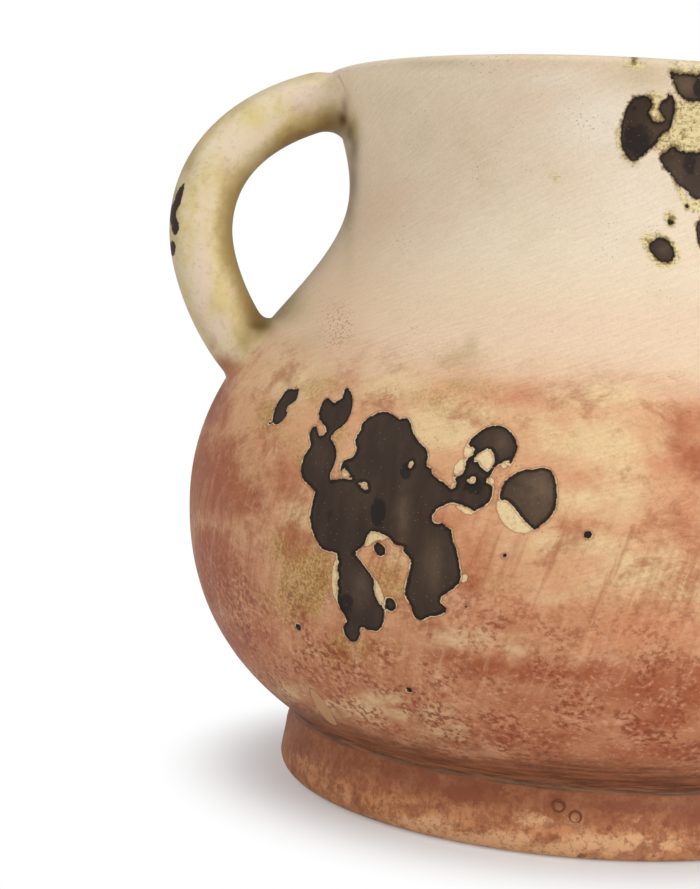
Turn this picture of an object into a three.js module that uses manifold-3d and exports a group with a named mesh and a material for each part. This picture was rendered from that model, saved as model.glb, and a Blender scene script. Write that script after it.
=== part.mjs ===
// A bulbous glazed jug as its potter puts it together: a thrown vessel with a pulled pouring
// lip, a thrown foot ring under it, and a pulled rod handle that is luted on at the rim and at
// the shoulder with a roll of soft clay in the angle of each root.
// Millimetres, +Z up. The handle points to -X and the lip to +X. The origin is on the floor, in
// the middle of the jug's outline seen from above.
import * as THREE from "three";
import { LoftGeometry } from "three/addons/geometries/LoftGeometry.js";
import { mergeVertices } from "three/addons/utils/BufferGeometryUtils.js";
import Module from "manifold-3d";

const wasm = await Module();
wasm.setup();

// Outline of the vessel: radii from its axis, heights from the floor
const rimHeight = 220.3;
const rimRadius = 91.4;
const neckHeight = 185;
const neckRadius = 81.2;
const bellyHeight = 88;
const bellyRadius = 126.6;
const seamHeight = 18.5;
const seamRadius = 86.1;
const undersideHeight = 11.5;

// How the outline runs between them: angles above the horizontal in degrees, and how far each
// curve holds its direction, as a share of the height that it climbs
const seamAngle = 39.5;
const rimAngle = 65;
const seamHold = 0.08;
const lowerBellyHold = 0.72;
const upperBellyHold = 0.5;
const shoulderHold = 0.3;
const neckHold = 0.35;
const rimHold = 0.34;
const undersideBlend = 14;

// Thickness of the thrown clay
const floorThickness = 9;
const wallThickness = 6.5;
const rimThickness = 5.6;
const rimCrown = 2;

// Pouring lip, pulled out of the rim opposite the handle
const lipReach = 9;
const lipDrop = 1.5;
const lipHalfAngle = 13;
const lipDepth = 32;
const lipPinch = 1.6;
const lipPinchPlace = 2;

// Foot ring
const footRadius = 93;
const footTopRadius = 91.8;
const footShoulderHeight = 13.5;
const footWidth = 18;
const footOuterRounding = 5.5;
const footInnerRounding = 2.5;

// Handle: the middle line of the rod in the plane of the axis, and the rod's radii. Its upper root
// and its bend hang from the rim, and its lower root stands above the belly.
const upperRootDrop = 6.1;
const upperRootAngle = 8;
const lowerRootRise = 40.9;
const lowerRootAngle = 21;
const handleReach = 128;
const handleBendDrop = 49;
const upperRootHold = 3;
const lowerRootHold = 8.8;
const upperBendHold = 35.8;
const lowerBendHold = 16.4;
const rodRadiusAtRim = 8.9;
const rodRadiusAtBend = 9.6;
const rodRadiusAtShoulder = 9.8;
const rootDepth = 9;

// Rolls of clay in the angles of the handle's roots
const upperCoilWidth = 9;
const upperCoilSpan = 250;
const lowerCoilWidth = 6;
const coilTipWidth = 0.8;

// Layer of slip between two luted pieces
const slipGap = 0.3;

// How closely the place where the rod leaves the wall and the slope of the wall are looked for
const rootHalvings = 40;
const slopeStep = 1;

// Facets
const turnSegments = 72;
const curveSteps = 7;
const roundingSteps = 3;
const rodSides = 20;
const rodSteps = 36;
const coilSections = 32;
const coilCurveSteps = 4;

const upperRootHeight = rimHeight - upperRootDrop;
const lowerRootHeight = bellyHeight + lowerRootRise;
const handleBendHeight = rimHeight - handleBendDrop;

const radians = THREE.MathUtils.degToRad;
const point2 = (r, z) => new THREE.Vector2(r, z);

// A point at a distance and an angle in degrees from another.
function stepFrom(point, distance, angle) {
  return point2(
    point.x + distance * Math.cos(radians(angle)),
    point.y + distance * Math.sin(radians(angle)),
  );
}

// The outside of the vessel, from the axis under the floor up to the rim.
function vesselOutline() {
  const seam = point2(seamRadius, seamHeight);
  const rim = point2(rimRadius, rimHeight - rimCrown);
  const bellyClimb = bellyHeight - seamHeight;
  const shoulderClimb = neckHeight - bellyHeight;
  const rimClimb = rim.y - neckHeight;
  const corner = seamRadius - (seamHeight - undersideHeight) / Math.tan(radians(seamAngle));
  const fromSeam = stepFrom(seam, seamHold * bellyClimb, seamAngle);
  const intoRim = stepFrom(rim, -rimHold * rimClimb, rimAngle);
  const path = new THREE.Path();
  path.moveTo(0, undersideHeight);
  path.lineTo(corner - undersideBlend, undersideHeight);
  path.quadraticCurveTo(corner, undersideHeight, seam.x, seam.y);
  path.bezierCurveTo(
    fromSeam.x,
    fromSeam.y,
    bellyRadius,
    bellyHeight - lowerBellyHold * bellyClimb,
    bellyRadius,
    bellyHeight,
  );
  path.bezierCurveTo(
    bellyRadius,
    bellyHeight + upperBellyHold * shoulderClimb,
    neckRadius,
    neckHeight - shoulderHold * shoulderClimb,
    neckRadius,
    neckHeight,
  );
  path.bezierCurveTo(
    neckRadius,
    neckHeight + neckHold * rimClimb,
    intoRim.x,
    intoRim.y,
    rim.x,
    rim.y,
  );
  return path.getPoints(curveSteps);
}

// The direction square to an outline at one of its points, on the left as the outline runs.
function leftNormal(points, i) {
  const before = points[Math.max(i - 1, 0)];
  const after = points[Math.min(i + 1, points.length - 1)];
  const along = after.clone().sub(before).normalize();
  return point2(-along.y, along.x);
}

// An outline moved to its left by a distance that may change from point to point.
function offsetOutline(points, distanceAt) {
  return points.map((p, i) => p.clone().addScaledVector(leftNormal(points, i), distanceAt(p)));
}

// The clay is thickest in the floor and thins towards the rim, as thrown walls do.
function clayThickness(p) {
  const intoWall = THREE.MathUtils.smoothstep(p.y, seamHeight, bellyHeight);
  const intoRim = THREE.MathUtils.smoothstep(p.y, neckHeight, rimHeight - rimCrown);
  const wall = THREE.MathUtils.lerp(floorThickness, wallThickness, intoWall);
  return THREE.MathUtils.lerp(wall, rimThickness, intoRim);
}

const outline = vesselOutline();

// Radius of the vessel's outside at a height. Above the rim it stays as wide as the rim.
function bodyRadius(height) {
  const wall = outline.filter((p) => p.y >= seamHeight);
  const above = wall.findIndex((p) => p.y >= height);
  if (above < 0) return rimRadius;
  if (above === 0) return wall[0].x;
  const low = wall[above - 1];
  const high = wall[above];
  return THREE.MathUtils.mapLinear(height, low.y, high.y, low.x, high.x);
}

// Height of the vessel's underside at a radius under the seam.
function undersideAt(radius) {
  const above = outline.findIndex((p) => p.x >= radius);
  const low = outline[above - 1];
  const high = outline[above];
  return THREE.MathUtils.mapLinear(radius, low.x, high.x, low.y, high.y);
}

// A solid of revolution round the Z axis from a closed or axis-to-axis outline.
function turned(points) {
  return new THREE.LatheGeometry(points, turnSegments).rotateX(Math.PI / 2);
}

// Pulls the rim out into a lip towards +X, draws its two sides in and lets its edge dip.
function pullLip(geometry) {
  const position = geometry.getAttribute("position");
  const point = new THREE.Vector3();
  for (let i = 0; i < position.count; i++) {
    point.fromBufferAttribute(position, i);
    const angle = THREE.MathUtils.radToDeg(Math.atan2(point.y, point.x)) / lipHalfAngle;
    const rise = THREE.MathUtils.smoothstep(point.z, rimHeight - lipDepth, rimHeight);
    const pull = Math.exp(-angle * angle) * rise * rise;
    const pinch = Math.exp(-((Math.abs(angle) - lipPinchPlace) ** 2)) * rise * rise;
    const radius = Math.hypot(point.x, point.y);
    const scale = radius > 0 ? (radius + lipReach * pull - lipPinch * pinch) / radius : 1;
    position.setXYZ(i, point.x * scale, point.y * scale, point.z - lipDrop * pull);
  }
  return geometry;
}

function vesselGeometry() {
  const last = outline.length - 1;
  const everySecond = (p, i) => i % 2 === last % 2 || i === 0;
  const inside = offsetOutline(outline, clayThickness).filter(everySecond);
  inside[0].x = 0;
  const outerRim = outline.at(-1);
  const innerRim = inside.at(-1);
  innerRim.set(outerRim.x - rimThickness, outerRim.y);
  const crown = new THREE.EllipseCurve(
    (outerRim.x + innerRim.x) / 2,
    outerRim.y,
    rimThickness / 2,
    rimCrown,
    0,
    Math.PI,
  );
  const edge = crown.getPoints(2 * roundingSteps).slice(1, -1);
  return pullLip(turned([...outline, ...edge, ...inside.reverse()]));
}

function footGeometry() {
  const innerRadius = footRadius - footWidth;
  const innerSeat = point2(innerRadius, undersideAt(innerRadius));
  const seat = outline.filter((p) => p.y < seamHeight && p.x > innerRadius);
  const seam = outline.find((p) => p.y >= seamHeight);
  const seatLine = offsetOutline([innerSeat, ...seat, seam], () => -slipGap).reverse();
  seatLine.at(-1).x = innerRadius;
  const face = new THREE.Path();
  face.moveTo(innerRadius, footInnerRounding);
  face.absarc(
    innerRadius + footInnerRounding,
    footInnerRounding,
    footInnerRounding,
    Math.PI,
    1.5 * Math.PI,
  );
  face.absarc(
    footRadius - footOuterRounding,
    footOuterRounding,
    footOuterRounding,
    -Math.PI / 2,
    0,
  );
  face.lineTo(footTopRadius, footShoulderHeight);
  face.quadraticCurveTo(footTopRadius, seatLine[0].y, seatLine[0].x, seatLine[0].y);
  const loop = [...face.getPoints(roundingSteps), ...seatLine.slice(1)];
  return turned([...loop, loop[0].clone()]);
}

// The rod's middle line, from inside the wall under the rim to inside the wall of the shoulder.
function handlePath() {
  const inPlane = (p) => new THREE.Vector3(-p.x, 0, p.y);
  const upper = point2(bodyRadius(upperRootHeight) - rootDepth, upperRootHeight);
  const lower = point2(bodyRadius(lowerRootHeight) - rootDepth, lowerRootHeight);
  const bend = point2(handleReach, handleBendHeight);
  const path = new THREE.CurvePath();
  path.add(
    new THREE.CubicBezierCurve3(
      inPlane(upper),
      inPlane(stepFrom(upper, upperRootHold, upperRootAngle)),
      inPlane(point2(bend.x, bend.y + upperBendHold)),
      inPlane(bend),
    ),
  );
  path.add(
    new THREE.CubicBezierCurve3(
      inPlane(bend),
      inPlane(point2(bend.x, bend.y - lowerBendHold)),
      inPlane(stepFrom(lower, lowerRootHold, lowerRootAngle)),
      inPlane(lower),
    ),
  );
  return path;
}

const rodPath = handlePath();
const rodLength = rodPath.getLength();

function rodRadius(share) {
  return share < 0.5
    ? THREE.MathUtils.lerp(rodRadiusAtRim, rodRadiusAtBend, 2 * share)
    : THREE.MathUtils.lerp(rodRadiusAtBend, rodRadiusAtShoulder, 2 * share - 1);
}

// Directions square to the rod at a share of its length, for an angle round it. Angle 0 is the
// hollow side of the bend, which faces the vessel.
function rodSide(share, angle) {
  const along = rodPath.getTangentAt(share);
  const hollow = new THREE.Vector3(-along.z, 0, along.x);
  return hollow
    .multiplyScalar(Math.cos(angle))
    .add(new THREE.Vector3(0, Math.sin(angle), 0));
}

function rodPoint(share, angle, clearance = 0) {
  const side = rodSide(share, angle);
  return rodPath.getPointAt(share).addScaledVector(side, rodRadius(share) + clearance);
}

function solidOf(geometry) {
  const bare = geometry.index ? geometry.toNonIndexed() : geometry.clone();
  bare.deleteAttribute("normal");
  bare.deleteAttribute("uv");
  const merged = mergeVertices(bare, 1e-3);
  return new wasm.Manifold(
    new wasm.Mesh({
      numProp: 3,
      vertProperties: merged.getAttribute("position").array,
      triVerts: new Uint32Array(merged.index.array),
    }),
  );
}

function geometryOf(solid) {
  const mesh = solid.getMesh();
  const geometry = new THREE.BufferGeometry();
  geometry.setAttribute("position", new THREE.BufferAttribute(mesh.vertProperties, mesh.numProp));
  geometry.setIndex(new THREE.BufferAttribute(mesh.triVerts, 1));
  geometry.computeVertexNormals();
  return geometry;
}

// The vessel filled up and grown by the layer of slip, with the rim carried on upwards: what a
// piece luted to its outside is fitted to.
function seatingForm() {
  const grown = offsetOutline(outline, () => -slipGap);
  grown[0].x = 0;
  const top = rimHeight + 2 * rodRadiusAtRim + rootDepth;
  return solidOf(turned([...grown, point2(rimRadius + slipGap, top), point2(0, top)]));
}

function handleGeometry() {
  const sections = [];
  for (let i = 0; i <= rodSteps; i++) {
    const ring = [];
    for (let j = 0; j < rodSides; j++) {
      ring.push(rodPoint(i / rodSteps, (-2 * Math.PI * j) / rodSides));
    }
    sections.push(ring);
  }
  const rod = solidOf(new LoftGeometry(sections, { capStart: true, capEnd: true }));
  return geometryOf(rod.subtract(seatingForm()));
}

// How far a point is outside the vessel's wall, measured level.
function outsideBy(point) {
  return Math.hypot(point.x, point.y) - bodyRadius(point.z);
}

// How fast the wall's radius grows with the height.
function wallSlope(height) {
  return (bodyRadius(height + slopeStep) - bodyRadius(height - slopeStep)) / (2 * slopeStep);
}

// A point brought level with its own height and bearing onto the vessel's wall, less the slip.
function onWall(point) {
  const clearance = slipGap * Math.hypot(1, wallSlope(point.z));
  const scale = (bodyRadius(point.z) + clearance) / Math.hypot(point.x, point.y);
  return new THREE.Vector3(point.x * scale, point.y * scale, point.z);
}

// The share of the rod's length at which its side comes out of the wall, near one of its ends.
function rootShare(end, angle) {
  let inside = end;
  let outside = 0.5;
  for (let i = 0; i < rootHalvings; i++) {
    const middle = (inside + outside) / 2;
    if (outsideBy(rodPoint(middle, angle, slipGap)) > slipGap) outside = middle;
    else inside = middle;
  }
  return outside;
}

// One section of a roll of clay: up the rod's side, over a hollow fillet to the wall, and back.
function coilSection(end, angle, width) {
  const root = rootShare(end, angle);
  const away = end < 0.5 ? 1 : -1;
  const corner = onWall(rodPoint(root, angle, slipGap));
  const onRod = rodPoint(root + (away * width) / rodLength, angle, slipGap);
  const middleOfRod = rodPoint(root + (away * width) / rodLength / 2, angle, slipGap);
  const outward = new THREE.Vector3(corner.x, corner.y, 0).normalize();
  outward.z = -wallSlope(corner.z);
  outward.normalize();
  const side = rodSide(root, angle);
  const toToe = side.clone().addScaledVector(outward, -side.dot(outward)).normalize();
  const toe = onWall(corner.clone().addScaledVector(toToe, width));
  const middleOfWall = onWall(corner.clone().addScaledVector(toToe, width / 2));
  const fillet = new THREE.QuadraticBezierCurve3(onRod, corner, toe);
  return [...fillet.getPoints(coilCurveSteps), middleOfWall, corner, middleOfRod];
}

// The roll under the upper root: widest in the hollow angle, tapering out on both sides.
function upperCoilGeometry() {
  const sections = [];
  for (let i = 0; i <= coilSections; i++) {
    const across = 1 - (2 * i) / coilSections;
    const fade = Math.cos((across * Math.PI) / 2) ** 2;
    const width = THREE.MathUtils.lerp(coilTipWidth, upperCoilWidth, fade);
    sections.push(coilSection(0, across * radians(upperCoilSpan / 2), width));
  }
  return new LoftGeometry(sections, { capStart: true, capEnd: true });
}

// The roll round the lower root, all the way round.
function lowerCoilGeometry() {
  const sections = [];
  for (let i = 0; i <= coilSections; i++) {
    const angle = (2 * Math.PI * (i % coilSections)) / coilSections;
    sections.push(coilSection(1, angle, lowerCoilWidth));
  }
  return new LoftGeometry(sections);
}

function piece(name, geometry, color, roughness) {
  const material = new THREE.MeshStandardMaterial({ color, roughness, metalness: 0 });
  const mesh = new THREE.Mesh(geometry, material);
  mesh.name = name;
  return mesh;
}

const jug = new THREE.Group();
jug.add(
  piece("vessel_body", vesselGeometry(), 0xd8b48c, 0.45),
  piece("foot_ring", footGeometry(), 0xa5643e, 0.5),
  piece("handle", handleGeometry(), 0xd9c7a3, 0.45),
  piece("upper_luting_coil", upperCoilGeometry(), 0xb9a76a, 0.45),
  piece("lower_luting_coil", lowerCoilGeometry(), 0xa9693f, 0.45),
);
jug.position.x = (handleReach + rodRadiusAtBend - bellyRadius) / 2;

const part = new THREE.Group();
part.add(jug);

export default part;
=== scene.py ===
import math

import bpy
import numpy as np
from mathutils import Matrix, Vector


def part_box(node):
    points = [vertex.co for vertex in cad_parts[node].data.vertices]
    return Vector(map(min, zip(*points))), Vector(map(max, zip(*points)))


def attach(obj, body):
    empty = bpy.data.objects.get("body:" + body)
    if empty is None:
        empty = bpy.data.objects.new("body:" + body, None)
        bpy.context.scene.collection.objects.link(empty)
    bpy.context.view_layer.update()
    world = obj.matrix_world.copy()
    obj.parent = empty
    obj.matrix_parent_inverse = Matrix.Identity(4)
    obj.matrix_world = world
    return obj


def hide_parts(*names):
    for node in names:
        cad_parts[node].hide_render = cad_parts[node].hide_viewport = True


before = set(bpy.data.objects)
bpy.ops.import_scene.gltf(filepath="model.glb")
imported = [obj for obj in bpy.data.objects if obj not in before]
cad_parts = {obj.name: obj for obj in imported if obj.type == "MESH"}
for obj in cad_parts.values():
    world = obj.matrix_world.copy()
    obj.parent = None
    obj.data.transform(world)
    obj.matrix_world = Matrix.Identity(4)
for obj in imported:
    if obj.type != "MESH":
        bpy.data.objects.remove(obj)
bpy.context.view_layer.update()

# Sizes are in millimetres, as a potter gives them, and turn into metres where a mesh is made.
MM = 0.001

# Stands in for nothing where a size is divided by
TINY = 1e-12

# The jug's axis stands where the foot ring is centred.
foot_low, foot_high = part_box("foot_ring")
AXIS = Vector(((foot_low.x + foot_high.x) / 2, (foot_low.y + foot_high.y) / 2, 0))

# Thrown vessel: radii from the axis and heights from the floor
RIM_HEIGHT = 220.3
RIM_RADIUS = 91.4
RIM_THICKNESS = 5.6
RIM_CROWN = 2
RIM_EDGE_HEIGHT = RIM_HEIGHT - RIM_CROWN
NECK_HEIGHT = 185
NECK_RADIUS = 81.2
BELLY_HEIGHT = 88
BELLY_RADIUS = 126.6
SEAM_HEIGHT = 18.5
SEAM_RADIUS = 86.1
SEAM_ANGLE = 39.5
FLOOR_THICKNESS = 9
WALL_THICKNESS = 6.5
WELL_DEPTH = 6
WELL_PULLS = (12, 30)

# Rows under the vessel's floor, inside the foot ring, as (radius, height)
UNDERSIDE = ((SEAM_RADIUS - 16, SEAM_HEIGHT - 7), (SEAM_RADIUS - 5, SEAM_HEIGHT - 4.5))

# Pulled pouring lip. Beside it the rim is pinched, at PINCH_PLACE times its half angle.
LIP_REACH = 9
LIP_DROP = 1.5
LIP_HALF_ANGLE = 13
LIP_DEPTH = 32
LIP_PINCH = 1.6
PINCH_PLACE = 2

# The rim stands a little higher where the handle is joined
RIM_LIFT = 0.6
LIFT_HALF_ANGLE = 40

# Foot ring
FOOT_RADIUS = 92.9
FOOT_TOP_RADIUS = 91.7
FOOT_SHOULDER = 13.5
FOOT_INNER_RADIUS = 75.1
FOOT_OUTER_ROUNDING = 5.5
FOOT_INNER_ROUNDING = 2.5
FOOT_TOP = ((SEAM_RADIUS - 8, SEAM_HEIGHT - 5.5), (FOOT_INNER_RADIUS, SEAM_HEIGHT - 6.5))

# Glaze that ran down and filled the seam over the foot ring
POOL_TOP = 22.5
POOL_PULL = 4.5

# Two small ring blisters on the foot: place in pixels of the photograph and radius in millimetres
BLISTERS = ((559, 806, 1.6), (575.5, 817, 1.6))
BLISTER_ROD = 0.3
BLISTER_SINK = 0.05

# Handle: heights where the middle line of its rod starts and ends inside the wall, and the rod's radii along it
UPPER_ROOT_HEIGHT = 214.2
LOWER_ROOT_HEIGHT = 128.9
ROOT_DEPTH = 9
ROD_RADII = (8.9, 9.6, 9.8)

# Roots of the handle: heights that they spread from, how far they spread outside and in the hollow, how near they
# come to the top of the rim, how deep they end in the wall, and how long their curves keep a direction
UPPER_ROOT_MIDDLE = 213
LOWER_ROOT_MIDDLE = 127
UPPER_FLARE = (5, 9)
LOWER_FLARE = (3, 6.5)
LEAST_DOWN = 0.5
FLUSH_DEPTH = 0.12
ROOT_HOLD = 0.62

# Fineness of the meshes and of what is measured on them. The side with the worn glaze has closer columns.
ROW_HEIGHT = 1.0
INSIDE_ROW_HEIGHT = 4.0
CLOSE_COLUMN = 0.45
WIDE_COLUMN = 2.0
CLOSE_FROM = -166
CLOSE_TO = -76
CURVE_POINTS = 60
WELL_ROWS = 20
RIM_STEPS = 16
FOOT_COLUMN = 0.75
FOOT_FACE_ROWS = 12
POOL_ROWS = 16
ROUNDING_POINTS = 9
BLISTER_AROUND = 40
BLISTER_ROD_AROUND = 12
ROD_AROUND = 72
ROD_ALONG = 130
ROD_POINTS = 200
ROOT_ROWS = 26
SHORT_STEP = 0.5
HALVINGS = 30

# The photograph's own frame, and the camera that gives it
PHOTO_WIDTH = 700
PHOTO_HEIGHT = 889
FOCAL_PIXELS = 1800
CAMERA_DISTANCE = 583.985
CAMERA_HEIGHT = 149.825
CAMERA_AZIMUTH = -108
CAMERA_YAW = -0.130983
CAMERA_PITCH = -0.077706
CAMERA_ROLL = 0.058750
SENSOR = 36


def camera_axes():
    """Right, up and backward directions of the camera."""
    sin_yaw, cos_yaw = math.sin(CAMERA_YAW), math.cos(CAMERA_YAW)
    sin_pitch, cos_pitch = math.sin(CAMERA_PITCH), math.cos(CAMERA_PITCH)
    sin_roll, cos_roll = math.sin(CAMERA_ROLL), math.cos(CAMERA_ROLL)
    forward = Vector((cos_pitch * sin_yaw, cos_pitch * cos_yaw, sin_pitch))
    level_right = Vector((cos_yaw, -sin_yaw, 0))
    level_up = Vector((-sin_pitch * sin_yaw, -sin_pitch * cos_yaw, cos_pitch))
    right = cos_roll * level_right + sin_roll * level_up
    up = cos_roll * level_up - sin_roll * level_right
    facing = Matrix.Rotation(math.radians(CAMERA_AZIMUTH + 90), 3, "Z")
    return facing @ right, facing @ up, facing @ -forward


def camera_place():
    around = math.radians(CAMERA_AZIMUTH)
    level = CAMERA_DISTANCE * Vector((math.cos(around), math.sin(around), 0))
    return (level + Vector((0, 0, CAMERA_HEIGHT))) * MM + AXIS


RIGHT, UP, BACK = camera_axes()
VIEWPOINT = np.array((camera_place() - AXIS) / MM)


def add_to_scene(name, data):
    thing = bpy.data.objects.new(name, data)
    bpy.context.scene.collection.objects.link(thing)
    return thing


def make_camera():
    data = bpy.data.cameras.new("photo_view")
    data.sensor_width = SENSOR
    data.lens = FOCAL_PIXELS * SENSOR / PHOTO_HEIGHT
    camera = add_to_scene("photo_view", data)
    camera.matrix_world = Matrix.Translation(camera_place()) @ Matrix((RIGHT, UP, BACK)).transposed().to_4x4()
    bpy.context.scene.camera = camera


# Curves


def pulled_curve(points, steps):
    """Points along a curve from the first point towards the last, which is left out, pulled by those between."""
    shares = np.arange(steps)[:, None] / steps
    rungs = [np.array(point, float) + 0 * shares for point in points]
    while len(rungs) > 1:
        rungs = [a + (b - a) * shares for a, b in zip(rungs, rungs[1:])]
    return rungs[0]


def step_from(point, distance, degrees):
    angle = math.radians(degrees)
    return (point[0] + distance * math.cos(angle), point[1] + distance * math.sin(angle))


def line_through(stations, steps):
    """A curved line through stations: radius, height, direction in degrees, and its pull before and after each."""
    curves = []
    for (*start, start_angle, _, start_pull), (*end, end_angle, end_pull, _) in zip(stations, stations[1:]):
        pulls = step_from(start, start_pull, start_angle), step_from(end, -end_pull, end_angle)
        curves.append(pulled_curve((start, *pulls, end), steps))
    return np.vstack([*curves, [stations[-1][:2]]])


def lengths_along(line):
    """Length along a line at each of its points."""
    return np.concatenate([[0], np.cumsum(np.linalg.norm(np.diff(line, axis=0), axis=1))])


def at_length(line, lengths, length):
    return [np.interp(length, lengths, line[:, k]) for k in (0, 1)]


def smooth_between(low, high, value):
    share = np.clip((value - low) / (high - low), 0, 1)
    return share * share * (3 - 2 * share)


def unit(vector):
    return vector / np.linalg.norm(vector)


# Outside of the vessel, from the seam over the foot ring up to the edge of the rim
OUTLINE = line_through(
    (
        (SEAM_RADIUS, SEAM_HEIGHT, SEAM_ANGLE, 0, 5.56),
        (BELLY_RADIUS, BELLY_HEIGHT, 90, 50.04, 48.5),
        (NECK_RADIUS, NECK_HEIGHT, 90, 29.1, 11.655),
        (RIM_RADIUS, RIM_EDGE_HEIGHT, 65, 11.322, 0),
    ),
    CURVE_POINTS,
)
WALL_LENGTHS = lengths_along(OUTLINE)


def wall_radius(height):
    return np.interp(height, OUTLINE[:, 1], OUTLINE[:, 0])


def outside_by(point):
    """How far a point is outside the vessel's wall, measured level. The rim's wall is carried on upwards."""
    return math.hypot(point[0], point[1]) - wall_radius(point[2])


def wall_crossing(place_at, outside, inside):
    """Where a line comes out of the wall, between a length on it that is outside and one that is inside."""
    for _ in range(HALVINGS):
        middle = (outside + inside) / 2
        if outside_by(place_at(middle)) > 0:
            outside = middle
        else:
            inside = middle
    return outside


def vessel_inside():
    """Inside of the vessel, from the edge of the rim down to the axis."""
    along = np.gradient(OUTLINE, axis=0)
    along /= np.linalg.norm(along, axis=1)[:, None]
    heights = OUTLINE[:, 1]
    low_down = 1 - smooth_between(SEAM_HEIGHT, BELLY_HEIGHT, heights)
    thickness = WALL_THICKNESS + (FLOOR_THICKNESS - WALL_THICKNESS) * low_down
    thickness += (RIM_THICKNESS - thickness) * smooth_between(NECK_HEIGHT, RIM_EDGE_HEIGHT, heights)
    inner = (OUTLINE + np.stack([-along[:, 1], along[:, 0]], 1) * thickness[:, None])[::-1]
    radius, floor_height = inner[-1] - (0, WELL_DEPTH)
    well = [inner[-1], *((radius - pull, floor_height) for pull in WELL_PULLS), (0, floor_height)]
    inner[0] = (RIM_RADIUS - RIM_THICKNESS, RIM_EDGE_HEIGHT)
    return np.vstack([inner[:-1], pulled_curve(well, WELL_ROWS)])


def rim_edge():
    """The crown between the outside and the inside of the rim."""
    turn = np.linspace(0, math.pi, RIM_STEPS + 1)[1:-1]
    half = RIM_THICKNESS / 2
    return np.stack([RIM_RADIUS - half + half * np.cos(turn), RIM_EDGE_HEIGHT + RIM_CROWN * np.sin(turn)], 1)


# Meshes


def make_piece(name, points, faces, materials, face_material=None):
    """A smooth piece from points in millimetres round the jug's axis."""
    mesh = bpy.data.meshes.new(name)
    mesh.from_pydata((np.asarray(points) * MM + np.array(AXIS)).tolist(), [], faces)
    for material in materials:
        mesh.materials.append(material)
    if face_material is not None:
        mesh.polygons.foreach_set("material_index", face_material)
    mesh.shade_smooth()
    return add_to_scene(name, mesh)


def even_rows(profile, spacing):
    """The same profile with its points at an even spacing."""
    lengths = lengths_along(profile)
    places = np.linspace(0, lengths[-1], int(lengths[-1] / spacing) + 1)
    return np.stack(at_length(profile, lengths, places), 1)


def vessel_columns():
    """Angles of the vessel's columns in degrees, close together on the worn side."""
    close = np.linspace(CLOSE_FROM, CLOSE_TO, int((CLOSE_TO - CLOSE_FROM) / CLOSE_COLUMN) + 1)
    rest = 360 - (CLOSE_TO - CLOSE_FROM)
    wide = np.linspace(CLOSE_TO, CLOSE_TO + rest, int(rest / WIDE_COLUMN) + 1)
    return np.concatenate([close, wide[1:-1]])


def turned_grid(profile, degrees):
    """Points of a surface of revolution, row by row up the profile."""
    turn = np.radians(degrees)
    radius, height = profile[:, :1], profile[:, 1:]
    return np.stack([radius * np.cos(turn), radius * np.sin(turn), height + 0 * turn], 2)


def grid_faces(rows, columns, closed_rows=False):
    """Four-sided faces between neighbouring rows of a grid whose columns run round and close."""
    row, column = np.mgrid[: rows if closed_rows else rows - 1, :columns]
    above, beside = (row + 1) % rows, (column + 1) % columns
    corners = (row * columns + column, row * columns + beside, above * columns + beside, above * columns + column)
    return np.stack(corners, -1).reshape(-1, 4)


def moved_out(points, distance):
    """Points moved level by a distance from the jug's axis."""
    radius = np.maximum(np.hypot(points[..., 0], points[..., 1]), TINY)
    scale = (radius + distance) / radius
    return points * np.stack([scale, scale, np.ones_like(scale)], -1)


def pull_lip(points):
    """Pulls the lip out of the rim, and lifts the rim a little where the handle is joined to it."""
    x, y, z = np.moveaxis(points, -1, 0)
    degrees = np.abs(np.degrees(np.arctan2(y, x)))
    angle = degrees / LIP_HALF_ANGLE
    rise = smooth_between(RIM_HEIGHT - LIP_DEPTH, RIM_HEIGHT, z) ** 2
    pull = np.exp(-(angle**2)) * rise
    pinch = np.exp(-((angle - PINCH_PLACE) ** 2)) * rise
    lift = np.exp(-(((180 - degrees) / LIFT_HALF_ANGLE) ** 2)) * rise
    pulled = moved_out(points, LIP_REACH * pull - LIP_PINCH * pinch)
    pulled[..., 2] += RIM_LIFT * lift - LIP_DROP * pull
    return pulled


# Worn glaze
#
# Each loss is a closed smooth outline through points picked on the photograph, in its pixels. The camera
# carries them onto the vessel, where they become distances in millimetres: below 0 inside a loss.

FAR = 20.0
LOSS_DEPTH = 0.35
LOSS_EDGE = 0.5
SMOOTHING = 4
UNROLLED_RADIUS = 110
RAY_STEPS = 200
RAY_MARGIN = 1.2

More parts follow.
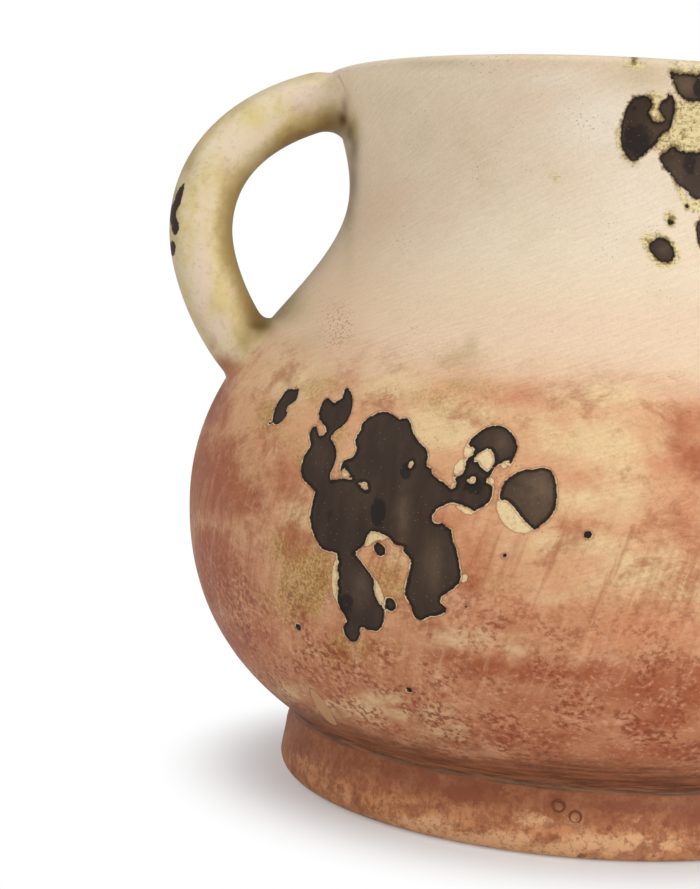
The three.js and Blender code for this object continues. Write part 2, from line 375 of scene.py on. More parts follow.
LOSSES = {
    "claw": (
        (346, 388), (350, 392), (352, 400), (351, 410), (347, 420), (341, 427), (335, 431), (330, 438), (334, 445),
        (336, 455), (333, 466), (329, 476), (331, 483), (325, 490), (316, 492), (309, 485), (303, 479), (301, 468),
        (304, 456), (311, 445), (309, 437), (311, 429), (315, 426), (317, 431), (320, 437), (326, 432), (325, 426),
        (320, 420), (319, 413), (322, 403), (326, 398), (331, 401), (334, 405), (337, 401), (342, 399), (344, 391),
    ),
    "head_and_body": (
        (331, 481), (342, 479), (352, 480), (350, 475), (344, 467), (341, 473), (341, 465), (345, 460), (352, 458),
        (357, 449), (355, 442), (357, 435), (361, 430), (362, 424), (367, 419), (374, 415), (383, 412), (391, 414),
        (400, 420), (404, 418), (409, 421), (413, 434), (419, 443), (427, 452), (426, 466), (431, 469), (433, 476),
        (448, 487), (450, 495), (446, 503), (436, 509), (431, 518), (434, 524), (443, 524), (447, 530), (446, 540),
        (430, 560), (411, 556), (405, 547), (395, 544), (387, 536), (370, 531), (363, 545), (352, 554), (350, 562),
        (338, 560), (337, 553), (323, 549), (314, 536), (310, 518), (314, 497), (320, 485),
    ),
    "arm_and_curl": (
        (440, 482), (447, 487), (452, 490), (457, 485), (454, 475), (459, 477), (464, 472), (466, 464), (466, 459),
        (472, 457), (475, 448), (468, 445), (473, 438), (481, 431), (490, 427), (500, 426), (509, 431), (515, 440),
        (517, 448), (514, 456), (509, 466), (508, 460), (500, 463), (494, 468), (490, 475), (485, 480), (487, 484),
        (492, 487), (491, 496), (487, 504), (479, 508), (474, 511), (468, 507), (459, 504), (450, 502), (440, 505),
    ),
    "right_leg": (
        (404, 546), (446, 528), (452, 540), (457, 555), (460, 579), (452, 589), (441, 596), (440, 603), (447, 610),
        (438, 615), (430, 616), (421, 620), (414, 616), (411, 606), (405, 594), (408, 578), (411, 560),
    ),
    "left_leg": (
        (338, 553), (352, 553), (364, 567), (373, 580), (373, 590), (378, 603), (383, 609), (383, 621), (378, 630),
        (370, 630), (360, 627), (359, 636), (354, 642), (347, 638), (343, 628), (347, 620), (341, 610), (337, 598),
        (339, 590), (337, 583), (339, 576), (337, 569), (339, 562),
    ),
    "small_slant": (
        (288, 389.5), (293, 389.5), (298, 389.5), (297, 395), (295, 401), (290, 404), (286.5, 407), (285.5, 411),
        (287, 413.5), (284, 418), (280, 422.5), (276, 424), (272.8, 422), (273.2, 414.5), (276, 406), (280, 399),
        (284, 393),
    ),
    "wide_oval": (
        (500, 499), (502, 488), (506, 481), (514, 475), (524, 470), (534, 470), (541, 468), (549, 470), (554, 477),
        (556, 490), (555, 507), (548, 519), (540, 525), (534, 529), (522, 517), (513, 505), (506, 500),
    ),
    "neck_oval": (
        (634, 98), (640, 97), (646, 96), (650, 99), (653, 106), (648, 112), (651, 118), (655, 122), (661, 122),
        (665, 119), (660, 111), (660, 104), (666, 100), (668, 94), (673, 98), (675, 105), (673, 117), (669, 130),
        (661, 135), (655, 144), (646, 152), (635, 161), (627, 156), (622, 146), (621, 130), (624, 116), (629, 105),
    ),
    "neck_top": (
        (670, 72), (678, 74), (690, 74), (697, 76), (704, 72), (714, 76), (716, 88), (708, 97), (698, 101),
        (688, 100), (681, 96), (676, 87),
    ),
    "neck_edge": (
        (660, 156), (667, 152), (672, 146), (682, 152), (700, 153), (714, 157), (722, 170), (716, 188), (704, 198),
        (694, 198), (686, 189), (678, 184), (672, 175), (663, 165),
    ),
    "neck_low": (
        (649, 247), (653, 241), (660, 238), (667, 240), (674, 250), (674, 258), (668, 262), (660, 261), (653, 254),
    ),
    "edge_low": ((703, 219), (697, 226), (698, 240), (703, 249), (711, 244), (712, 228)),
    "gap_oval": ((376, 543), (381, 544), (385, 551), (382, 556), (377, 554), (374, 548)),
    "gap_oval_low": ((387, 598), (392, 599), (396, 606), (392, 611), (387, 609), (385, 603)),
}

# Islands of glaze that still stand in the losses
ISLANDS = {
    "eye": ((411, 460), (414, 463), (413, 467), (409, 469), (407, 465)),
    "wedge": ((357, 482), (362, 481.5), (366.5, 482.5), (368, 487), (367.5, 492), (364, 490.5), (360, 487)),
    "curl_island": (
        (475, 456), (480, 452), (489, 448), (494, 454), (495, 461), (491, 470), (487, 472), (481, 468), (478, 463),
        (473, 462),
    ),
    "curl_crumb": ((466, 479), (471, 477), (475, 476), (476, 481), (473, 485), (468, 483)),
}

# Flakes where only the top glaze is gone and the pale layer under it shows
FLAKES = {
    "crescent": (
        (498, 500), (506, 500), (513, 506), (522, 517), (534, 528), (528, 532), (520, 533), (510, 529), (502, 521),
        (497, 510),
    ),
    "leg_flake_left": (
        (339, 556), (335, 561), (332.5, 571), (332, 585), (333.5, 595), (337.5, 600), (340, 592), (338, 583),
        (340, 576), (338, 569), (340, 562),
    ),
    "leg_flake_right": ((371, 577), (378, 583), (382.5, 593), (385, 605), (384, 611), (378, 605), (373, 595)),
    "gap_flake": ((369, 530), (380, 533), (389, 538), (382, 540), (375, 541), (365, 547)),
    "arm_flake": ((454, 503), (462, 504), (472, 510), (476, 511), (471, 515), (461, 511)),
    "hook_flake": ((344, 466), (349, 472), (354, 480), (347, 478), (342, 477)),
    "curl_flake": ((466, 446), (475, 447), (473, 454), (468, 459), (464, 455)),
    "curl_flake_low": ((460, 460), (465, 461), (465, 470), (460, 477), (454, 474), (455, 466)),
    "curl_flake_right": ((493, 477), (486, 480), (487, 484), (493, 486)),
    "curl_flake_tip": ((509, 459), (501, 463), (503, 469), (508, 466)),
    "arm_crumb": ((452, 483), (457, 483), (455, 489), (450, 488)),
    "leg_tab": ((461, 577), (466, 573), (468, 578), (465, 583), (460, 581)),
}

# Olive crust round the losses under the rim
CRUSTS = {
    "between_lobes": (
        (646, 94), (656, 91), (664, 95), (663, 103), (662, 112), (666, 120), (658, 125), (650, 120), (647, 110),
    ),
    "under_top": (
        (674, 99), (688, 102), (704, 99), (722, 102), (726, 130), (720, 152), (700, 155), (684, 153), (670, 148),
        (660, 154), (655, 149), (656, 140), (664, 133), (671, 128), (674, 112),
    ),
    "under_edge": (
        (672, 178), (682, 190), (696, 200), (712, 199), (722, 190), (722, 208), (706, 213), (690, 211), (680, 200),
    ),
    "rim_spot": ((624, 62), (634, 60), (646, 61), (651, 64), (643, 69), (632, 70), (625, 67)),
    "rim_strip": ((668, 60), (690, 62), (712, 64), (712, 74), (690, 72), (672, 71)),
    "round_low": ((640, 236), (652, 233), (668, 236), (680, 250), (676, 266), (662, 268), (650, 260)),
    "lone_spot": ((551, 173), (556, 174), (562, 180), (560, 183), (554, 180), (551, 177)),
    "round_pit": ((664, 214), (672, 212), (678, 219), (675, 227), (668, 227), (664, 221)),
    "beside_oval": ((616, 130), (621, 126), (623, 146), (628, 157), (640, 163), (634, 166), (622, 158), (617, 146)),
}

# A drop of glaze that ran down over the seam
DRIPS = {
    "seam_drip": ((310, 689), (316, 692), (324, 702), (331, 712), (337, 725), (329, 722), (320, 712), (313, 700)),
}

# Small dark pits: place and radius in pixels
PITS = (
    (588, 535, 3.4), (504.5, 556, 2.0), (298, 627, 2.8), (409, 690, 2.2), (269.5, 423, 1.5), (671, 222, 3.2),
    (687, 207, 2.4), (634, 63, 0.8), (467, 606, 1.8),
)


def camera_ray(pixel_x, pixel_y):
    """Direction of the ray from the camera through a pixel."""
    across = (pixel_x - PHOTO_WIDTH / 2) / FOCAL_PIXELS
    rise = (PHOTO_HEIGHT / 2 - pixel_y) / FOCAL_PIXELS
    return np.array((RIGHT * across + UP * rise - BACK).normalized())


def on_vessel(pixel_x, pixel_y):
    """Where the ray through a pixel first meets the outside of the vessel."""
    way = camera_ray(pixel_x, pixel_y)

    def place_at(distance):
        return VIEWPOINT + way * distance

    steps = np.linspace(CAMERA_DISTANCE - RAY_MARGIN * BELLY_RADIUS, CAMERA_DISTANCE, RAY_STEPS)
    for near, far in zip(steps, steps[1:]):
        if outside_by(place_at(far)) < 0:
            return place_at(wall_crossing(place_at, near, far))
    return None


def unrolled(points):
    """Points of the vessel's wall laid flat: millimetres round it at a middling width, and up along the wall."""
    turn = np.arctan2(points[..., 1], points[..., 0])
    along = np.interp(points[..., 2], OUTLINE[:, 1], WALL_LENGTHS)
    return np.stack([turn * UNROLLED_RADIUS, along], -1)


def smooth_loop(points):
    """A closed smooth curve through the points."""
    before, here = np.roll(points, 1, axis=0), points
    after, beyond = np.roll(points, -1, axis=0), np.roll(points, -2, axis=0)
    loop = []
    for t in np.arange(SMOOTHING) / SMOOTHING:
        straight = 2 * here + (after - before) * t
        bend = (2 * before - 5 * here + 4 * after - beyond) * t**2
        loop.append((straight + bend + (3 * here - before - 3 * after + beyond) * t**3) / 2)
    return np.stack(loop, 1).reshape(-1, 2)


def distance_to_loop(places, loop):
    """Distance of flat places from a closed curve, below 0 inside it."""
    nearest = np.full(len(places), np.inf)
    crossings = np.zeros(len(places), int)
    for start, end in zip(loop, np.roll(loop, -1, axis=0)):
        side = end - start
        share = np.clip(((places - start) @ side) / max(side @ side, TINY), 0, 1)
        nearest = np.minimum(nearest, np.linalg.norm(places - start - share[:, None] * side, axis=1))
        spans = (start[1] > places[:, 1]) != (end[1] > places[:, 1])
        crossings += spans & (places[:, 0] < start[0] + (places[:, 1] - start[1]) * side[0] / (side[1] or TINY))
    return np.where(crossings % 2 == 1, -nearest, nearest)


def field_of(outlines, places):
    """Distance of flat places from the nearest of several outlines given in pixels."""
    field = np.full(len(places), FAR)
    for outline in outlines.values():
        hits = [on_vessel(*pixel) for pixel in outline]
        loop = smooth_loop(unrolled(np.array([hit for hit in hits if hit is not None])))
        near = ((places > loop.min(0) - FAR) & (places < loop.max(0) + FAR)).all(1)
        field[near] = np.minimum(field[near], distance_to_loop(places[near], loop))
    return field


def pit_field(places):
    field = np.full(len(places), FAR)
    for pixel_x, pixel_y, radius in PITS:
        middle, edge = (unrolled(on_vessel(pixel_x, y)) for y in (pixel_y, pixel_y + radius))
        field = np.minimum(field, np.linalg.norm(places - middle, axis=1) - np.linalg.norm(edge - middle))
    return field


def worn_fields(grid):
    """How far each point of the vessel is from bare clay, from pale flakes, from crust and from the drip."""
    places = unrolled(grid).reshape(-1, 2)
    bare = np.maximum(field_of(LOSSES, places), -field_of(ISLANDS, places))
    fields = {
        "bare": np.minimum(bare, pit_field(places)),
        "flake": field_of({**FLAKES, **ISLANDS}, places),
        "crust": field_of(CRUSTS, places),
        "drip": field_of(DRIPS, places),
    }
    is_outside = np.arange(len(grid)) < grid[..., 2].argmax(axis=0).min()
    return {name: np.where(is_outside[:, None], field.reshape(grid.shape[:2]), FAR) for name, field in fields.items()}


# Soft areas of colour, seen on the photograph: place, half width and half height in pixels, and strength
COLOUR_AREAS = {
    "ochre": (
        (300, 585, 28, 44, 1.1), (318, 578, 20, 34, 1.15), (284, 548, 16, 22, 0.85), (305, 455, 22, 26, 0.4),
        (294, 524, 12, 16, 0.6), (390, 575, 26, 40, 0.5), (345, 650, 44, 16, 0.9), (425, 395, 34, 16, 0.6),
        (450, 350, 36, 26, 0.7), (415, 330, 30, 12, 0.4), (270, 415, 20, 22, 0.6), (320, 385, 34, 16, 0.5),
        (455, 385, 24, 10, 0.5), (405, 690, 30, 12, 0.5), (340, 440, 14, 22, 0.5),
    ),
    "pale": (
        (440, 424, 40, 26, 1.2), (296, 516, 12, 14, 0.9), (396, 560, 20, 30, 0.6), (590, 440, 80, 28, 0.9),
        (578, 500, 40, 14, 0.9), (620, 495, 34, 40, 0.7), (580, 545, 70, 16, 0.8), (640, 570, 60, 26, 0.8),
        (600, 395, 40, 14, 0.8), (460, 640, 46, 16, 0.6), (350, 708, 50, 12, 0.8), (420, 714, 50, 12, 0.7),
        (300, 380, 50, 30, 0.8), (390, 385, 50, 20, 0.8), (500, 420, 40, 16, 0.6), (520, 650, 30, 8, 0.5),
        (345, 465, 12, 16, 0.5), (545, 600, 30, 14, 0.5), (550, 760, 50, 6, 0.3), (690, 585, 30, 24, 0.7),
        (318, 540, 9, 16, 0.8), (290, 694, 24, 14, 0.7), (440, 734, 34, 16, 0.6), (400, 748, 24, 10, 0.4),
        (380, 700, 40, 12, 0.6), (480, 420, 24, 18, 0.8),
    ),
    "salmon": (
        (700, 440, 44, 50, 1.1), (660, 450, 26, 60, 0.6), (520, 394, 60, 16, 0.7), (600, 480, 40, 12, 0.4),
        (440, 520, 30, 16, 0.9), (475, 560, 22, 40, 1.0), (520, 615, 70, 20, 0.9), (640, 630, 70, 24, 0.9),
        (590, 525, 26, 12, 0.6), (690, 520, 30, 40, 0.8), (330, 650, 40, 16, 0.6), (285, 480, 18, 30, 0.8),
        (355, 380, 26, 16, 0.7), (385, 395, 12, 16, 0.6), (685, 392, 26, 14, 0.7), (630, 375, 60, 10, 0.5),
        (380, 560, 14, 30, 0.5), (255, 440, 16, 20, 0.4),
    ),
    "rust": (
        (210, 480, 40, 60, 0.95), (205, 575, 40, 60, 1.2), (245, 500, 30, 30, 0.8), (230, 640, 40, 34, 0.8),
        (280, 480, 24, 24, 0.6), (215, 400, 18, 40, 0.9), (445, 655, 30, 11, 0.8), (485, 667, 36, 12, 0.9),
        (540, 672, 44, 14, 0.95), (590, 674, 50, 18, 0.85), (640, 690, 60, 20, 0.9), (520, 700, 60, 12, 0.6),
        (500, 740, 90, 14, 0.7), (694, 684, 18, 24, 1.4), (670, 712, 18, 20, 1.2), (642, 736, 20, 16, 1.0),
        (248, 565, 20, 40, 0.5), (650, 752, 70, 12, 0.9), (520, 768, 200, 12, 1.0), (300, 735, 24, 16, 0.8),
        (470, 585, 16, 16, 0.5), (500, 622, 20, 10, 0.5), (695, 462, 30, 24, 0.7), (676, 444, 22, 36, 0.55),
        (330, 480, 10, 20, 0.4), (335, 655, 24, 10, 0.6), (610, 700, 90, 12, 0.5), (225, 360, 14, 16, 0.8),
    ),
    "soot": (
        (378, 512, 9, 18, 1.0), (406, 471, 7, 11, 1.0), (474, 486, 16, 12, 0.8), (346, 604, 11, 16, 0.8),
        (348, 449, 9, 9, 0.9), (425, 606, 12, 8, 0.35), (330, 515, 10, 20, 0.5), (638, 140, 22, 26, 0.75),
        (700, 88, 10, 12, 0.9), (690, 166, 12, 20, 0.65), (634, 108, 6, 8, 0.6), (652, 246, 5, 5, 0.6),
    ),
    "ash": (
        (403, 515, 7, 30, 0.9), (434, 565, 14, 28, 0.7), (362, 585, 9, 20, 0.8), (534, 493, 24, 28, 1.35),
        (500, 442, 12, 12, 0.7), (322, 460, 10, 18, 0.2), (360, 490, 18, 20, 0.35), (655, 130, 14, 7, 0.5),
        (668, 108, 8, 14, 0.35), (675, 172, 14, 22, 0.35), (684, 84, 14, 12, 1.2), (664, 250, 6, 6, 1.0),
    ),
    # Paler cream glaze. The wide spots on the right of the neck are partly painted light, where the key lamp falls.
    "chalk_and_painted_light": (
        (388, 366, 16, 5, 0.9), (600, 120, 60, 40, 0.9), (560, 80, 60, 16, 0.6), (640, 180, 60, 60, 0.5),
        (290, 66, 60, 10, 0.3),
    ),
    # Olive stains. The spots along the handle's upper root, on the neck's left beside it and by its lower root are
    # partly painted shade from the handle.
    "stain_and_shade": (
        (352, 132, 6, 16, 1.2), (348, 190, 6, 60, 0.7), (284, 306, 20, 18, 1.0), (262, 326, 16, 12, 1.0),
        (395, 100, 24, 20, 0.15), (420, 135, 16, 20, 0.25), (471, 346, 8, 12, 0.5), (460, 356, 20, 10, 0.4),
        (300, 345, 30, 14, 0.3), (430, 62, 40, 6, 0.4), (640, 75, 30, 16, 0.3),
    ),
    "freckle": (
        (338, 328, 20, 28, 1.3), (390, 395, 16, 10, 1.0), (290, 365, 24, 14, 0.5), (450, 375, 30, 10, 0.6),
        (345, 380, 30, 10, 0.6),
    ),
    # Dark olive where the handle's roots meet the wall: olive glaze pooled there, and painted shade in the crease.
    "crease_olive_and_shade": (
        (343, 120, 6, 9, 1.3), (345, 108, 4, 12, 0.7), (350, 132, 5, 10, 0.9), (354, 150, 5, 18, 0.8),
        (353, 180, 5, 22, 0.6), (350, 205, 5, 18, 0.3), (258, 326, 12, 5, 0.8), (276, 316, 12, 6, 0.3),
    ),
}
FOOT_AREAS = {
    "red": (
        (300, 745, 18, 14, 0.8), (345, 772, 14, 10, 0.5), (395, 772, 20, 10, 0.8), (470, 792, 36, 14, 1.0),
        (440, 806, 10, 6, 0.6), (500, 800, 30, 12, 0.6), (560, 822, 14, 6, 0.4), (620, 806, 60, 10, 0.8),
        (668, 822, 8, 8, 0.9), (700, 812, 24, 22, 0.9), (610, 828, 3.5, 3.5, 1.6), (582, 855, 5, 2, 1.6),
    ),
    "tan": (
        (480, 846, 50, 16, 1.5), (560, 850, 40, 12, 1.2), (620, 845, 70, 12, 1.1), (420, 826, 40, 12, 0.8),
        (540, 818, 40, 10, 0.7), (640, 822, 20, 10, 0.5), (330, 795, 30, 12, 0.3), (360, 766, 10, 10, 0.5),
    ),
}
HANDLE_AREAS = {
    "pink": (
        (305, 96, 22, 16, 1.0), (232, 148, 14, 26, 0.8), (201, 282, 9, 54, 1.0), (218, 328, 14, 16, 0.9),
        (270, 88, 16, 8, 0.4),
    ),
    "yellow": (
        (255, 118, 18, 20, 1.0), (226, 190, 10, 40, 0.7), (222, 290, 8, 44, 1.0), (192, 200, 10, 22, 0.8),
        (240, 330, 12, 18, 0.9), (185, 290, 6, 40, 0.5),
    ),
    # Olive on the handle's edge. The spots at its upper root and by its lower web are partly painted shade in the
    # crease.
    "olive_and_shade": (
        (188, 150, 12, 40, 0.8), (225, 104, 30, 10, 0.6), (338, 112, 14, 18, 0.7), (350, 122, 7, 10, 1.2),
        (262, 318, 16, 12, 1.0), (175, 210, 4, 50, 0.6), (244, 340, 10, 12, 0.9),
    ),
    "burnt": ((226, 366, 14, 14, 1.0), (212, 345, 6, 14, 0.5)),
}

# How strong each colour is, evenly, where the photograph doesn't reach, and how squarely the surface has to face
# the camera: from not at all to fully the photograph's colour
UNSEEN_STRENGTH = 0.35
UNSEEN = {"crease_olive_and_shade": 0, "stain_and_shade": 0.05, "freckle": 0.15, "ochre": 0.1, "salmon": 0.55}
FACING_USUAL = (-0.06, 0)
FACING = {
    "crease_olive_and_shade": (0, 0.12), "stain_and_shade": (0, 0.12), "rust": (-0.6, 0), "salmon": (-0.6, 0), "pale": (-0.6, 0),
    "ochre": (-0.4, 0),
}
PICTURE_FADE = 60


def seen_in_photo(points):
    """The photograph's pixel for each point, and how squarely the point faces the camera."""
    away = points - VIEWPOINT
    depth = -(away @ np.array(BACK))
    pixel_x = PHOTO_WIDTH / 2 + FOCAL_PIXELS * (away @ np.array(RIGHT)) / depth
    pixel_y = PHOTO_HEIGHT / 2 - FOCAL_PIXELS * (away @ np.array(UP)) / depth
    level = points[:, :2] / np.maximum(np.linalg.norm(points[:, :2], axis=1), TINY)[:, None]
    facing = -(away[:, :2] * level).sum(1) / np.linalg.norm(away[:, :2], axis=1)
    return pixel_x, pixel_y, facing


def photo_fields(areas, points):
    """How strongly each soft colour shows at each point, as seen from the camera."""
    pixel_x, pixel_y, _ = seen_in_photo(points)
    fields = {name: np.zeros(len(points)) for name in areas}
    for name, spots in areas.items():
        for middle_x, middle_y, half_width, half_height, strength in spots:
            spread = ((pixel_x - middle_x) / half_width) ** 2 + ((pixel_y - middle_y) / half_height) ** 2
            fields[name] = np.maximum(fields[name], strength * np.exp(-spread))
    return fields


def colour_fields(points):
    """How strongly each soft colour of the dipped glaze shows at each point."""
    pixel_x, _, facing = seen_in_photo(points)
    in_picture = 1 - smooth_between(PHOTO_WIDTH, PHOTO_WIDTH + PICTURE_FADE, pixel_x)
    fields = photo_fields(COLOUR_AREAS, points)
    for name, strength in fields.items():
        unseen = UNSEEN.get(name, UNSEEN_STRENGTH)
        seen = smooth_between(*FACING.get(name, FACING_USUAL), facing) * in_picture
        fields[name] = unseen + (strength - unseen) * seen
    return fields


def write_fields(piece, fields):
    """Stores named values at the points of a piece's mesh, for its material to read."""
    for name, values in fields.items():
        field = piece.data.attributes.new(name, "FLOAT", "POINT")
        field.data.foreach_set("value", np.asarray(values, np.float32))


def make_vessel(outside, inside):
    outer, inner = even_rows(OUTLINE, ROW_HEIGHT), even_rows(vessel_inside(), INSIDE_ROW_HEIGHT)
    profile = np.vstack([UNDERSIDE, outer, rim_edge(), inner])
    degrees = vessel_columns()
    rows, columns = len(profile), len(degrees)
    grid = turned_grid(profile, degrees)
    losses = worn_fields(grid)
    grid = pull_lip(moved_out(grid, -LOSS_DEPTH * (1 - smooth_between(-LOSS_EDGE, LOSS_EDGE, losses["bare"]))))
    points = np.vstack([grid.reshape(-1, 3), [(0, 0, UNDERSIDE[0][1]), (0, 0, inner[-1, 1])]])
    faces = grid_faces(rows, columns).tolist()
    under_middle, floor_middle = rows * columns, rows * columns + 1
    last = (rows - 1) * columns
    for column in range(columns):
        beside = (column + 1) % columns
        faces += [(under_middle, beside, column), (last + column, last + beside, floor_middle)]
    inside_from = (len(UNDERSIDE) + len(outer) + RIM_STEPS // 2) * columns
    is_inside = [int(inside_from <= face[0] < under_middle) for face in faces]
    vessel = make_piece("vessel_glazed", points, faces, [outside, inside], is_inside)
    write_fields(vessel, {name: np.append(field, [FAR, FAR]) for name, field in losses.items()})
    write_fields(vessel, colour_fields(points))
    return vessel


# Foot ring


def on_foot(pixel_x, pixel_y):
    """Where the ray through a pixel meets the tapered face of the foot ring."""
    way = camera_ray(pixel_x, pixel_y)
    start, way_level = VIEWPOINT[:2], way[:2]
    level = way_level @ way_level
    half = start @ way_level / level
    radius = FOOT_RADIUS
    for _ in range(HALVINGS):
        place = VIEWPOINT + way * (-half - math.sqrt(half**2 - (start @ start - radius**2) / level))
        radius = np.interp(place[2], (FOOT_OUTER_ROUNDING, FOOT_SHOULDER), (FOOT_RADIUS, FOOT_TOP_RADIUS))
    return place


def ring_blister(pixel_x, pixel_y, radius):
    """Points of a small raised ring on the face of the foot ring."""
    middle = on_foot(pixel_x, pixel_y)
    outward, up = unit(middle * (1, 1, 0)), np.array((0, 0, 1))
    around = np.linspace(0, 2 * math.pi, BLISTER_AROUND, endpoint=False)[:, None, None]
    turn = np.linspace(0, 2 * math.pi, BLISTER_ROD_AROUND, endpoint=False)[:, None]
    way = np.cos(around) * np.cross(up, outward) + np.sin(around) * up
    return middle + way * (radius + BLISTER_ROD * np.cos(turn)) + outward * (BLISTER_ROD * np.sin(turn) - BLISTER_SINK)


def make_foot(glaze, blister_glaze):
    turn = np.linspace(0, math.pi / 2, ROUNDING_POINTS)
    short_of, down = 1 - np.cos(turn), 1 - np.sin(turn)
    inner = np.stack([FOOT_INNER_RADIUS + FOOT_INNER_ROUNDING * short_of, FOOT_INNER_ROUNDING * down], 1)
    outer = np.stack([FOOT_RADIUS - FOOT_OUTER_ROUNDING * down, FOOT_OUTER_ROUNDING * short_of], 1)
    shoulder = np.array((FOOT_TOP_RADIUS, FOOT_SHOULDER))
    face = outer[-1] + (shoulder - outer[-1]) * np.linspace(0, 1, FOOT_FACE_ROWS)[1:, None]
    pool_top = (wall_radius(POOL_TOP) - FLUSH_DEPTH, POOL_TOP, SEAM_ANGLE, POOL_PULL, 0)
    pool = line_through(((*shoulder, 90, 0, POOL_PULL), pool_top), POOL_ROWS)[1:]
    profile = np.vstack([inner, outer, face, pool, FOOT_TOP])
    degrees = np.arange(0, 360, FOOT_COLUMN)
    points = turned_grid(profile, degrees).reshape(-1, 3)
    faces = grid_faces(len(profile), len(degrees), closed_rows=True).tolist()
    ring_faces = len(faces)
    for blister in BLISTERS:
        ring = ring_blister(*blister)
        faces += (grid_faces(*ring.shape[:2], closed_rows=True) + len(points)).tolist()
        points = np.vstack([points, ring.reshape(-1, 3)])
    in_blister = [int(index >= ring_faces) for index in range(len(faces))]
    foot = make_piece("foot_glazed", points, faces, [glaze, blister_glaze], in_blister)
    write_fields(foot, photo_fields(FOOT_AREAS, points))
    return foot


# Handle

# Middle line of the rod, from inside the wall under the rim to inside the wall of the shoulder
ROD = line_through(
    (
        (wall_radius(UPPER_ROOT_HEIGHT) - ROOT_DEPTH, UPPER_ROOT_HEIGHT, 8, 0, 3),
        (128, 171.3, 270, 35.8, 16.4),
        (wall_radius(LOWER_ROOT_HEIGHT) - ROOT_DEPTH, LOWER_ROOT_HEIGHT, 201, 8.8, 0),
    ),
    ROD_POINTS,
)
ROD_LENGTHS = lengths_along(ROD)
ROD_LENGTH = ROD_LENGTHS[-1]

# The vessel's edge under the handle, down from the top of the rim
BODY_EDGE = np.vstack([rim_edge()[RIM_STEPS // 2 - 1 :: -1], OUTLINE[::-1]])
BODY_LENGTHS = lengths_along(BODY_EDGE)


def rod_middle(length):
    radius, height = at_length(ROD, ROD_LENGTHS, length)
    return np.array([-radius, 0, height])


def rod_point(length, angle):
    """Point on the side of the rod at a length from its upper end. The angle is 0 on its hollow side."""
    x, _, z = unit(rod_middle(min(length + SHORT_STEP, ROD_LENGTH)) - rod_middle(max(length - SHORT_STEP, 0)))
    radius = np.interp(length / ROD_LENGTH, (0, 0.5, 1), ROD_RADII)
    return rod_middle(length) + radius * np.array([-z * math.cos(angle), math.sin(angle), x * math.cos(angle)])


def on_body(across, down):
    """Point on the outside of the vessel under the handle: across to +Y, and down from the top of the rim."""
    radius, height = at_length(BODY_EDGE, BODY_LENGTHS, down)
    turn = math.pi - across / radius
    return np.array([radius * math.cos(turn), radius * math.sin(turn), height])


def down_at(height):
    return np.interp(-height, -BODY_EDGE[:, 1], BODY_LENGTHS)


def wall_place(point):
    """A point of the wall as millimetres across and down, as on_body takes them."""
    across = (math.pi - math.atan2(point[1], point[0]) % (2 * math.pi)) * math.hypot(point[0], point[1])
    down = down_at(point[2]) if point[2] < RIM_EDGE_HEIGHT else RIM_HEIGHT - point[2]
    return np.array([across, max(down, LEAST_DOWN)])


def root_curve(angle, end, middle, flare):
    """Points from the rod's side down to the wall, which it meets flush. The length on the rod where they start."""
    width = flare[0] + (flare[1] - flare[0]) * ((1 + math.cos(angle)) / 2) ** 2
    leaving = wall_crossing(lambda length: rod_point(length, angle), ROD_LENGTH / 2, end)
    start = leaving + math.copysign(width, ROD_LENGTH / 2 - end)
    place, turn = rod_point(start, angle), rod_point(leaving, angle)
    corner = wall_place(turn)
    outward = unit(corner - middle)
    landing = corner + outward * width
    landing[1] = max(landing[1], LEAST_DOWN)
    land = on_body(*landing)
    step = outward * SHORT_STEP
    arrive = unit(on_body(*(landing + step)) - on_body(*(landing - step)))
    beside = on_body(*(landing + step[::-1] * (1, -1)))
    normal = unit(np.cross(arrive, beside - land))
    land = land - normal * math.copysign(FLUSH_DEPTH, normal[:2] @ land[:2])
    leaving_hold = place + (turn - place) * ROOT_HOLD
    landing_hold = land - arrive * np.linalg.norm(land - turn) * ROOT_HOLD
    return [*pulled_curve((place, leaving_hold, landing_hold, land), ROOT_ROWS)[1:], land], start


# Two chips on the edge of the handle, in the photograph's pixels
EDGE_CHIPS = {
    "long_chip": (
        (184, 183), (183, 190), (181.5, 197), (180, 203), (177.5, 208), (175.5, 212), (175.5, 217), (177.5, 222),
        (178.5, 226), (177.5, 231), (175, 235), (172.5, 230), (172, 224), (169.5, 218), (170, 212), (172.5, 206),
        (175.5, 200), (177.5, 192), (181.5, 187),
    ),
    "small_chip": ((171.5, 241), (174, 243), (175, 248), (174, 254), (172, 255), (170.5, 249)),
}

# Size of a pixel on the rod, how far the chips fade on the side turned away from the camera, and where that side is
CHIP_PIXEL = 0.26
CHIP_FADE = 20
AWAY_IN_HOLLOW = 0.31
AWAY_AT_SIDE = 0.95


